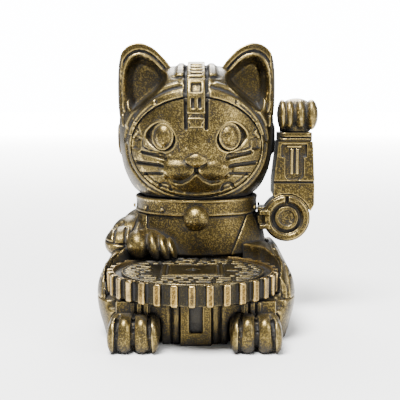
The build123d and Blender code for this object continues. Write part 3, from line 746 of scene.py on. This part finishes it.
strap = band_of_head(0.6, rectangle(-STRAP_HALF, STRAP_HALF, 33.6, 42.6), FAR_FRONT, 2)
nape = band_of_head(0.45, rectangle(-STRAP_HALF, STRAP_HALF, 23.5, 42.6), 1, 20)
keystone = band_of_head(0.4, KEYSTONE, FAR_FRONT, -3)
link = band_of_head(0.15, rectangle(-1.2, 1.2, 32.5, 34.5), FAR_FRONT, -3)
strap = cast(join(strap, nape, keystone, link), 0.11, 1)
sink(strap, WINDOW, POCKET_DEPTH, POCKET_WALL)
for side in (-1, 1):
    sink(strap, mirrored(SLOT, side), POCKET_DEPTH, POCKET_WALL)
press(strap, [[(-1.6, 39.3), (1.6, 39.3)]], *BUCKLE_LINE)
press(strap, [[(-RIB_HALF, z), (RIB_HALF, z)] for z in (39.95, 40.5, 41.0, 41.42)], *FRONT_RIB)
press(strap, [[(-RIB_HALF, y), (RIB_HALF, y)] for y in (-3.4, -1.4, 0.6)], *TOP_RIB, "top")
press(strap, [[(-0.9, z), (0.9, z)] for z in (26, 28.5, 31, 33.5, 36)], *BACK_RIB, "back")
finish_piece(cast(strap, 0.125, 1), "crest_strap_cast", face_brass, "head", ["crest_strap"])

# %% [markdown]
# A raised band runs over each eye, from the strap to the temple. Two ellipses bound it, and it is lifted
# off the head's skin like the strap. One line along it and two across it divide it into plates.

# %% Brow bands
CROSS_LINE, LONG_LINE = (0.26, 0.5), (0.2, 0.3)


def build_brow_band(side, name):
    """Band between two ellipses round the face, on one side."""
    outer = ellipse(11.3, 9.45, FACE_Z, 12, 79.5, 24)
    inner = ellipse(10.75, 8.25, FACE_Z, 14, 79, 24)
    band = cast(band_of_head(0.32, mirrored(outer + inner[::-1], side), FAR_FRONT, -2), 0.11, 0)
    crossings = [mirrored(line, side) for line in ([(6.2, 33), (6.6, 38)], [(9.3, 31.5), (10.6, 33)])]
    press(band, crossings, *CROSS_LINE)
    press(band, [mirrored(ellipse(11.0, 8.8, FACE_Z, 14, 50, 16), side)], *LONG_LINE)
    finish_piece(cast(band, 0.12, 1), f"brow_band_{name}_cast", face_brass, "head", [f"brow_band_{name}"])


for side, name in BOTH_SIDES:
    build_brow_band(side, name)

# %% [markdown]
# Each eye is a polished dome with a thin ring round it, set deep in its socket. Both are turned outwards
# to lie on the curve of the face. The ring starts round and is stretched in edit mode to fit the dome.

# %% Eyes
EYE_TURN, RIM_STRETCH = 22, 1.17


def build_eye(side, name):
    """Dome and rim of one eye."""
    y = -sqrt(head_radius(EYE_Z) ** 2 - EYE_X ** 2) + 0.75
    middle = (side * EYE_X, y, EYE_Z)
    dome = ball(middle, (1.6, 1.35, 1.92), (0, 0, side * EYE_TURN))
    rim = ring((side * EYE_X, y - 0.55, EYE_Z), 1.68, 0.2, "Y")
    select_only(rim)
    bpy.ops.object.mode_set(mode="EDIT")
    bpy.ops.mesh.select_all(action="SELECT")
    bpy.ops.transform.resize(value=(1, 1, RIM_STRETCH), center_override=middle)
    bpy.ops.transform.rotate(value=radians(-side * EYE_TURN), orient_axis="Z", center_override=middle)
    bpy.ops.object.mode_set(mode="OBJECT")
    finish_piece(cast(join(dome, rim), 0.09, 1), f"eye_{name}_cast", polished, "head",
                 [f"eye_{name}"])


for side, name in BOTH_SIDES:
    build_eye(side, name)

# %% [markdown]
# The nose is a small soft pad. A plate with a smooth outline is kept inside an ellipsoid, which gives it
# the bulge.

# %% Nose
NOSE = [(0, 27.35), (1.0, 26.95), (1.75, 26.3), (0.9, 25.6), (0, 25.2), (-0.9, 25.6), (-1.75, 26.3),
        (-1.0, 26.95)]
nose = plate(NOSE, -14.3, -12.4, smooth=True)
nose = keep(nose, ball((0, -12.6, 26.3), (2.1, 1.65, 1.6)))
finish_piece(cast(nose, 0.09, 3), "nose_cast", polished, "head", ["nose"])

# %% [markdown]
# The raised paw is four curled fingers in front of a rounded palm. Fingers are ellipsoids that overlap,
# and casting fuses them, which leaves the soft creases between them. The forearm, its rods and its wrist
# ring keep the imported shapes, softened.

# %% Raised forearm and paw
CURLED_FINGERS = ((14.35, 0.85), (15.5, 1.0), (17.3, 1.12), (19.2, 1.15))
fingers = [ball((x, -2.7, 33.25), (width, 2.3, 2.55)) for x, width in CURLED_FINGERS]
palm = ball((16.9, -0.6, 33.3), (3.3, 3.3, 2.7))
wrist = drum((16.7, -0.9, 31.0), 2.6, 1.2)
raised_paw = cast(join(palm, wrist, *fingers), 0.12, 3)
finish_piece(raised_paw, "raised_paw", polished, "raised_forearm", ["paw_left"])
finish_piece(cast(copy_node("forearm_left"), 0.12, 2), "forearm", antique, "raised_forearm",
             ["forearm_left"])
finish_piece(cast(copy_node("forearm_rods"), 0.1, 1), "forearm_rods_cast", polished, "raised_forearm",
             ["forearm_rods"])
cuff = cut(copy_node("wrist_ring"), block((13, -5.4, 29.35), (21, -3.6, 29.6)))
finish_piece(cast(cuff, 0.11, 1), "wrist_ring_cast", antique, "raised_forearm", ["wrist_ring"])

# %% [markdown]
# The coin turns on the lap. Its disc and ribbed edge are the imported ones, with the grooves between the
# ribs pushed in further. Age has filled those grooves and the dish of the face, so their faces get a
# second, darker metal, picked by place and normal.

# %% Coin
GROOVE_RADIUS, GROOVE_FROM, GROOVE_TO = 12.25, 12.35, 12.85
EDGE_FROM, EDGE_TO, DISH_RADIUS, DISH_DEPTH = 12.1 * MM, 12.72 * MM, 11.95 * MM, 0.25 * MM
UPRIGHT = 0.6


def paint_recess(piece, material, recessed):
    """Gives a second metal to the faces that a test on place and normal picks."""
    piece.data.materials.append(material)
    for face_part in piece.data.polygons:
        if recessed(face_part.center, face_part.normal):
            face_part.material_index = 1


coin_low, coin_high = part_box("coin_disc")
coin_x, coin_y = (coin_low[0] + coin_high[0]) / 2, (coin_low[1] + coin_high[1]) / 2
coin = cast(copy_node("coin_disc"), 0.13, 0)
places = vertex_values(coin)
spokes = places[:, :2] - (coin_x / MM, coin_y / MM)
reach = np.linalg.norm(spokes, axis=1)
deeper = np.where((reach > GROOVE_FROM) & (reach < GROOVE_TO), GROOVE_RADIUS / reach, 1.0)
places[:, :2] += spokes * (deeper - 1)[:, None]
coin = finish_piece(cast(move_vertices(coin, places), 0.15, 1), "coin", coin_brass, "coin", ["coin_disc"])


def in_edge_groove(place, normal):
    from_axis = sqrt((place.x - coin_x) ** 2 + (place.y - coin_y) ** 2)
    return EDGE_FROM < from_axis < EDGE_TO and abs(normal.z) < UPRIGHT


def in_rim_dish(place):
    from_axis = sqrt((place.x - coin_x) ** 2 + (place.y - coin_y) ** 2)
    return from_axis < DISH_RADIUS and place.z < coin_high[2] - DISH_DEPTH


paint_recess(coin, coin_field, lambda place, normal: in_edge_groove(place, normal) or in_rim_dish(place))

# %% [markdown]
# The face of the coin carries a square panel among rows of short raised bars. The bars are made as
# blocks, row by row, with lengths that come round in turn, so that rows side by side differ. A diamond
# dimple marks the middle of the panel.

# %% Coin relief
middle_x, middle_y = coin_x / MM, coin_y / MM
relief_low, relief_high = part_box("coin_inlay")
RELIEF_BASE, BAR_HEIGHT, BAR_EDGE = relief_low[2] / MM, relief_high[2] / MM, 0.06
FIELD_HEIGHT = BAR_HEIGHT - 0.24
PANEL_HALF, BAR_HALF, BAR_GAP, ROW_PITCH, ROW_REACH = 4.6, 0.4, 0.55, 1.42, 10.3
BAR_LENGTHS = (2.3, 1.2, 1.7, 0.9, 2.0)


def around_coin(half, corners):
    return [(middle_x + a * half, middle_y + b * half) for a, b in corners]


relief = [drum((middle_x, middle_y, (RELIEF_BASE + FIELD_HEIGHT) / 2), 10.85, FIELD_HEIGHT - RELIEF_BASE),
          block((middle_x - PANEL_HALF, middle_y - PANEL_HALF, FIELD_HEIGHT - 0.1),
                (middle_x + PANEL_HALF, middle_y + PANEL_HALF, BAR_HEIGHT), BAR_EDGE)]
for row in range(-7, 8):
    y = row * ROW_PITCH
    row_half = sqrt(ROW_REACH ** 2 - y ** 2)
    x, step = -row_half, (row * 3) % len(BAR_LENGTHS)
    while x < row_half - 0.6:
        length = min(BAR_LENGTHS[step % len(BAR_LENGTHS)], row_half - x)
        if max(abs(x + length / 2) - length / 2, abs(y)) > PANEL_HALF + 0.5:
            relief.append(block((middle_x + x, middle_y + y - BAR_HALF, FIELD_HEIGHT - 0.1),
                                (middle_x + x + length, middle_y + y + BAR_HALF, BAR_HEIGHT), BAR_EDGE))
        x, step = x + length + BAR_GAP, step + 1
relief.append(ring((middle_x, middle_y, FIELD_HEIGHT + 0.02), 10.7, 0.18))
relief = cast(join(*relief), 0.1, 1)
press(relief, [around_coin(3.9, ((-1, -1), (1, -1), (1, 1), (-1, 1), (-1, -1)))], 0.28, 0.2, "top")
sink(relief, around_coin(1.25, ((0, -1), (1, 0), (0, 1), (-1, 0))), 0.6, 0.2, "top")
relief = finish_piece(cast(relief, 0.12, 1), "coin_relief", shaded, "coin", ["coin_inlay"])
relief_top = max(v.co.z for v in relief.data.vertices)
paint_recess(relief, coin_field, lambda place, normal: place.z < relief_top - 0.11 * MM)

# %% [markdown]
# The front feet have four toes each: a rounded block with an ellipsoid for each toe, fused, and then
# three grooves pressed in from the front and from above, so that the toes fold over the paw. A row of
# upright slats stands over each foot, under the edge of the coin.

# %% Feet
TOE_GROOVE_PITCH = 2.45
TOES = ((-2.75, 2.3, 1.0), (-1.2, 2.5, 1.3), (1.2, 2.5, 1.3), (2.75, 2.3, 1.0))
TOE_FRONT, TOE_TOP = (0.32, 0.75), (0.3, 0.5)


def build_foot(middle, name):
    """Paw with four toes, round a middle in X."""
    shapes = [block((middle - 3.7, -30.3, 0.04), (middle + 3.7, -23.5, 5.1), 1.7)]
    for offset, height, half_width in TOES:
        shapes.append(ball((middle + offset, -29.7, height), (half_width, 1.45, height + 0.1)))
    foot = cast(join(*shapes), 0.16, 6)
    foot = cast(keep(foot, block((middle - 6, -34, 0.03), (middle + 6, -20, 10))), 0.13, 0)
    grooves = [middle + step * TOE_GROOVE_PITCH for step in (-1, 0, 1)]
    press(foot, [[(x, -1), (x + 0.08 * (middle - x), 5.0)] for x in grooves], *TOE_FRONT)
    press(foot, [[(x, -32), (middle + 0.85 * (x - middle), -27.0)] for x in grooves], *TOE_TOP, "top")
    finish_piece(cast(foot, 0.12, 1), f"foot_{name}_cast", polished, "body", [f"foot_{name}"])


SLATS, FIRST_SLAT, SLAT_PITCH = 5, 7.2, 0.98


def build_shin(side, name):
    """Upright slats over a backing, between the paw and the coin."""
    shapes = [block((side * 6.6, -26.4, 4.6), (side * 11.6, -23.5, 6.75))]
    for index in range(SLATS):
        x = FIRST_SLAT + SLAT_PITCH * index
        front = -27.1 + 0.09 * index ** 2
        shapes.append(block((side * (x - 0.3), front, 4.4), (side * (x + 0.3), -25.0, 6.72), 0.1))
    finish_piece(cast(join(*shapes), 0.11, 1), f"shin_slats_{name}", antique, "body",
                 [f"shin_guard_{name}"])


for side, name in BOTH_SIDES:
    low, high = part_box(f"foot_{name}")
    build_foot((low[0] + high[0]) / 2 / MM, name)
    build_shin(side, name)

# %% [markdown]
# The resting arm comes round from the shoulder, through a cuff, to a paw laid on the coin. Each is a few
# ellipsoids, fused and kept inside a block that ends them where the next piece begins.

# %% Resting arm and paw
ARM_SEAM, CUFF_SEAM = (0.3, 0.4), (0.26, 0.5)
shoulder = [ball((-8.8, -1.0, 13.4), (4.6, 5.4, 4.1), (0, -20, 0)),
            ball((-11.0, -3.2, 12.9), (3.6, 4.6, 3.4), (0, -25, 0)),
            ball((-12.2, -4.4, 12.0), (3.0, 3.6, 3.0))]
shoulder = keep(cast(join(*shoulder), 0.15, 8), block((-17, -8.5, 9), (-4, 6, 18)))
press(shoulder, [[(-9.2, 17.5), (-10.6, 13.5), (-12.6, 11)], [(-15.5, 13.4), (-12.2, 15.4)]], *ARM_SEAM)
finish_piece(cast(shoulder, 0.13, 1), "upper_arm", antique, "body", ["upper_arm_right"])
cuff = keep(cast(ball((-11.9, -6.7, 12.35), (3.15, 4.0, 2.65), (0, 0, -18)), 0.14, 2),
            block((-17, -12, 9.9), (-10.9, 0, 16)))
cuff = cast(cuff, 0.12, 0)
cuff_lines = [[(-16, 12.9), (-10, 12.3)], [(-13.2, 16), (-13.4, 12.7)], [(-11.5, 16), (-11.5, 9)]]
press(cuff, cuff_lines, *CUFF_SEAM)
finish_piece(cast(cuff, 0.12, 1), "forearm_cuff", antique, "body", ["forearm_cuff_right"])
FINGERS = [((-9.3, -10.1, 12.5), (2.0, 3.1, 2.4), 8), ((-6.75, -10.6, 12.3), (1.1, 3.0, 2.4), 13),
           ((-5.2, -10.4, 12.0), (0.9, 2.9, 2.2), 15), ((-3.95, -9.9, 11.8), (0.72, 2.6, 1.85), 17)]
paw = [ball((-8.2, -8.6, 12.7), (3.3, 3.0, 2.1))]
paw += [ball(place, radii, (0, -tilt, 0)) for place, radii, tilt in FINGERS]
paw = keep(cast(join(*paw), 0.12, 3), block((-14, -16, 10.4), (0, 0, 18)))
finish_piece(paw, "resting_paw", polished, "body", ["paw_right"])

# %% [markdown]
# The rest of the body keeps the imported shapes. Each is copied, fused and softened, so that crisp edges
# turn into cast ones, and small pieces get a finer voxel than large ones.

# %% Cast copies of the body's pieces
BODY_PIECES = {"base_casting": 0.25, "torso": 0.2, "thigh_plate_left": 0.14, "thigh_plate_right": 0.14,
               "front_hatch_panel": 0.11, "tail": 0.14, "chest_plate_left": 0.12, "chest_plate_right": 0.12,
               "back_vent_panel": 0.11, "collar_rivets": 0.1, "upper_arm_left": 0.12,
               "elbow_hub_cap": 0.09, "elbow_pin": 0.12}
SEAMS = {"base_casting": [("front", [[(side * 3.6, 0), (side * 3.6, 7)] for side in (-1, 1)]),
                          ("left", [[(-16, 0), (-14.5, 6.2)], [(4, 0), (5.5, 6.2)]]),
                          ("right", [[(-16, 0), (-14.5, 6.2)], [(4, 0), (5.5, 6.2)]]),
                          ("back", [[(-8, 0), (-9, 12)], [(8, 0), (9, 12)], [(-9, 6.2), (9, 6.2)]])],
         "thigh_plate_left": [("front", [[(12.0, 12), (12.7, 6)], [(13.6, 11), (13.9, 6)]]),
                              ("left", [[(-20, 9.2), (-10, 10.2)], [(-4, 6), (-4, 12)]])],
         "thigh_plate_right": [("front", [[(-12.0, 12), (-12.7, 6)], [(-13.6, 11), (-13.9, 6)]]),
                               ("right", [[(-20, 9.2), (-10, 10.2)], [(-4, 6), (-4, 12)]])]}
BODY_SEAM, COARSE_VOXEL, FINE_VOXEL = (0.3, 0.42), 0.13, 0.1


def elbow_details():
    """Slotted ring round the elbow's cap, and two short bars beside it."""
    low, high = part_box("elbow_hub_cap")
    hub_x, hub_z = (low[0] + high[0]) / 2 / MM, (low[2] + high[2]) / 2 / MM
    slotted = cut(drum((hub_x, -4.85, hub_z), 3.65, 0.5, "Y"), drum((hub_x, -4.85, hub_z), 2.8, 1, "Y"))
    slotted = cut(slotted, block((hub_x - 0.3, -6, hub_z), (hub_x + 0.3, -4, hub_z + 5)))
    return [slotted] + [block((10.5, -5.3, z), (12.3, -3.6, z + 0.75), 0.15) for z in (14.2, 16.6)]


for node, voxel in BODY_PIECES.items():
    piece = copy_node(node)
    if node == "upper_arm_left":
        piece = join(piece, *elbow_details())
    piece = cast(piece, voxel, 7 if voxel > COARSE_VOXEL else 2 if voxel > FINE_VOXEL else 0)
    for side_name, lines in SEAMS.get(node, []):
        press(piece, lines, *BODY_SEAM, side_name)
    finish_piece(piece, node + "_cast", antique, "body", [node])

# %% [markdown]
# The collar is a plain round band with a roll at each edge, and a half ball hangs on its front for a
# bell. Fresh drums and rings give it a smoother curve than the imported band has.

# %% Collar and bell
low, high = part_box("collar_band")
collar_low, collar_high, collar_radius = low[2] / MM, high[2] / MM, high[0] / MM
collar_middle, collar_height = (collar_low + collar_high) / 2, collar_high - collar_low
collar = cut(drum((0, 0, collar_middle), collar_radius - 0.18, collar_height),
             drum((0, 0, 18), collar_radius - 0.9, 9))
rolls = [ring((0, 0, z), collar_radius - 0.3, 0.28) for z in (collar_low + 0.3, collar_high - 0.3)]
finish_piece(cast(join(collar, *rolls), 0.15, 2), "collar_band_cast", antique, "body", ["collar_band"])
bell = cut(ball((0, -11.35, 16.85), (2.08, 2.08, 2.08)), drum((0, 0, 18), collar_radius - 0.4, 10))
finish_piece(cast(bell, 0.1, 1), "bell_cast", polished, "body", ["bell"])

# %% [markdown]
# Screws, washers, pins and two plain plates aren't castings, and hardly show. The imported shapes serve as
# they are, and only get their metal.

# %% Plain parts
PLAIN_PARTS = ("base_plate", "base_plate_screws", "coin_spindle", "coin_thrust_washer", "torso_bolt",
               "neck_pivot_screw", "neck_wave_washer", "shoulder_dowel", "hatch_shutter")
for node in PLAIN_PARTS:
    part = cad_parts[node]
    part.data.materials.clear()
    part.data.materials.append(antique if node == "base_plate" else dark_steel)
print("packed shapes kept:", len(PLAIN_PARTS))

# %% [markdown]
# The figure stands on pale paper in soft light. Brass shows what it reflects, so the room is kept dim for
# the metal, and Light Path makes the paper and the backdrop bright for the camera's own rays only.

# %% Studio
ROOM_LIGHT, BACKDROP_LIGHT = 0.55, 16.0
SWEEP_NEAR, SWEEP_FAR, SWEEP_CURVE = 0.05, 0.75, 1.4
clear()
bpy.ops.mesh.primitive_plane_add(size=4, location=(0, 0, 0))
floor = bpy.context.object
floor.name = "floor"
paper = bpy.data.materials.new("pale paper")
paper.use_nodes = True
paper_tree = paper.node_tree
paper_shader = paper_tree.nodes["Principled BSDF"]
paper_shader.inputs["Base Color"].default_value = (0.66, 0.66, 0.65, 1)
paper_shader.inputs["Roughness"].default_value = 0.9
paper_shader.inputs["Emission Color"].default_value = (1, 1, 0.99, 1)
# Away from the figure the paper turns into the white backdrop, as a lit sweep does.
length = paper_tree.nodes.new("ShaderNodeVectorMath")
length.operation = "LENGTH"
paper_tree.links.new(paper_tree.nodes.new("ShaderNodeTexCoord").outputs["Object"], length.inputs[0])
far_off = ramp(paper_tree, length.outputs["Value"], SWEEP_NEAR, SWEEP_FAR)
far_off = math_node(paper_tree, "POWER", far_off, SWEEP_CURVE)
seen = paper_tree.nodes.new("ShaderNodeLightPath")
glow = math_node(paper_tree, "MULTIPLY", far_off, BACKDROP_LIGHT)
glow = math_node(paper_tree, "MULTIPLY", glow, seen.outputs["Is Camera Ray"])
paper_tree.links.new(glow, paper_shader.inputs["Emission Strength"])
floor.data.materials.append(paper)


LIGHT_TARGET = Vector((0, 0, 0.02))


def area_light(name, place, size, power):
    """Round soft light that looks at the figure."""
    light = bpy.data.lights.new(name, "AREA")
    light.shape, light.size, light.energy = "DISK", size, power
    holder = bpy.data.objects.new(name, light)
    bpy.context.collection.objects.link(holder)
    holder.location = place
    holder.rotation_euler = (LIGHT_TARGET - Vector(place)).to_track_quat("-Z", "Y").to_euler()
    print(name, power, "W")


area_light("key from above", (-0.08, -0.14, 0.36), size=0.20, power=8.0)
area_light("fill right", (0.32, -0.20, 0.16), size=0.22, power=1.6)
area_light("back sweep", (0, 0.32, 0.32), size=0.30, power=5.0)

# The paper behind the figure is bright, but it adds little light to the metal.
world = bpy.data.worlds.new("studio")
world.use_nodes = True
sky = world.node_tree.nodes["Background"]
sky.inputs["Color"].default_value = (0.96, 0.98, 1.0, 1)
seen = world.node_tree.nodes.new("ShaderNodeLightPath")
room = ramp(world.node_tree, seen.outputs["Is Camera Ray"], 0, 1, ROOM_LIGHT, BACKDROP_LIGHT)
world.node_tree.links.new(room, sky.inputs["Strength"])
bpy.context.scene.world = world
print("room light", ROOM_LIGHT, "and backdrop", BACKDROP_LIGHT)

# %% [markdown]
# The camera stands low in front of the cat and looks down by a few degrees, close enough for the coin
# to seem large against the head.

# %% Camera
CAMERA_PLACE, CAMERA_DOWN = (0.0006, -0.1542, 0.0362), 6.53
LENS, SENSOR_WIDTH = 81, 36
camera_data = bpy.data.cameras.new("camera")
camera_data.lens, camera_data.sensor_width = LENS, SENSOR_WIDTH
camera = bpy.data.objects.new("camera", camera_data)
bpy.context.collection.objects.link(camera)
camera.location = CAMERA_PLACE
camera.rotation_euler = (radians(90 - CAMERA_DOWN), 0, 0)
camera_data.clip_start = 0.005
bpy.context.scene.camera = camera
print("camera at", CAMERA_PLACE, "m, looking down by", CAMERA_DOWN, "degrees")
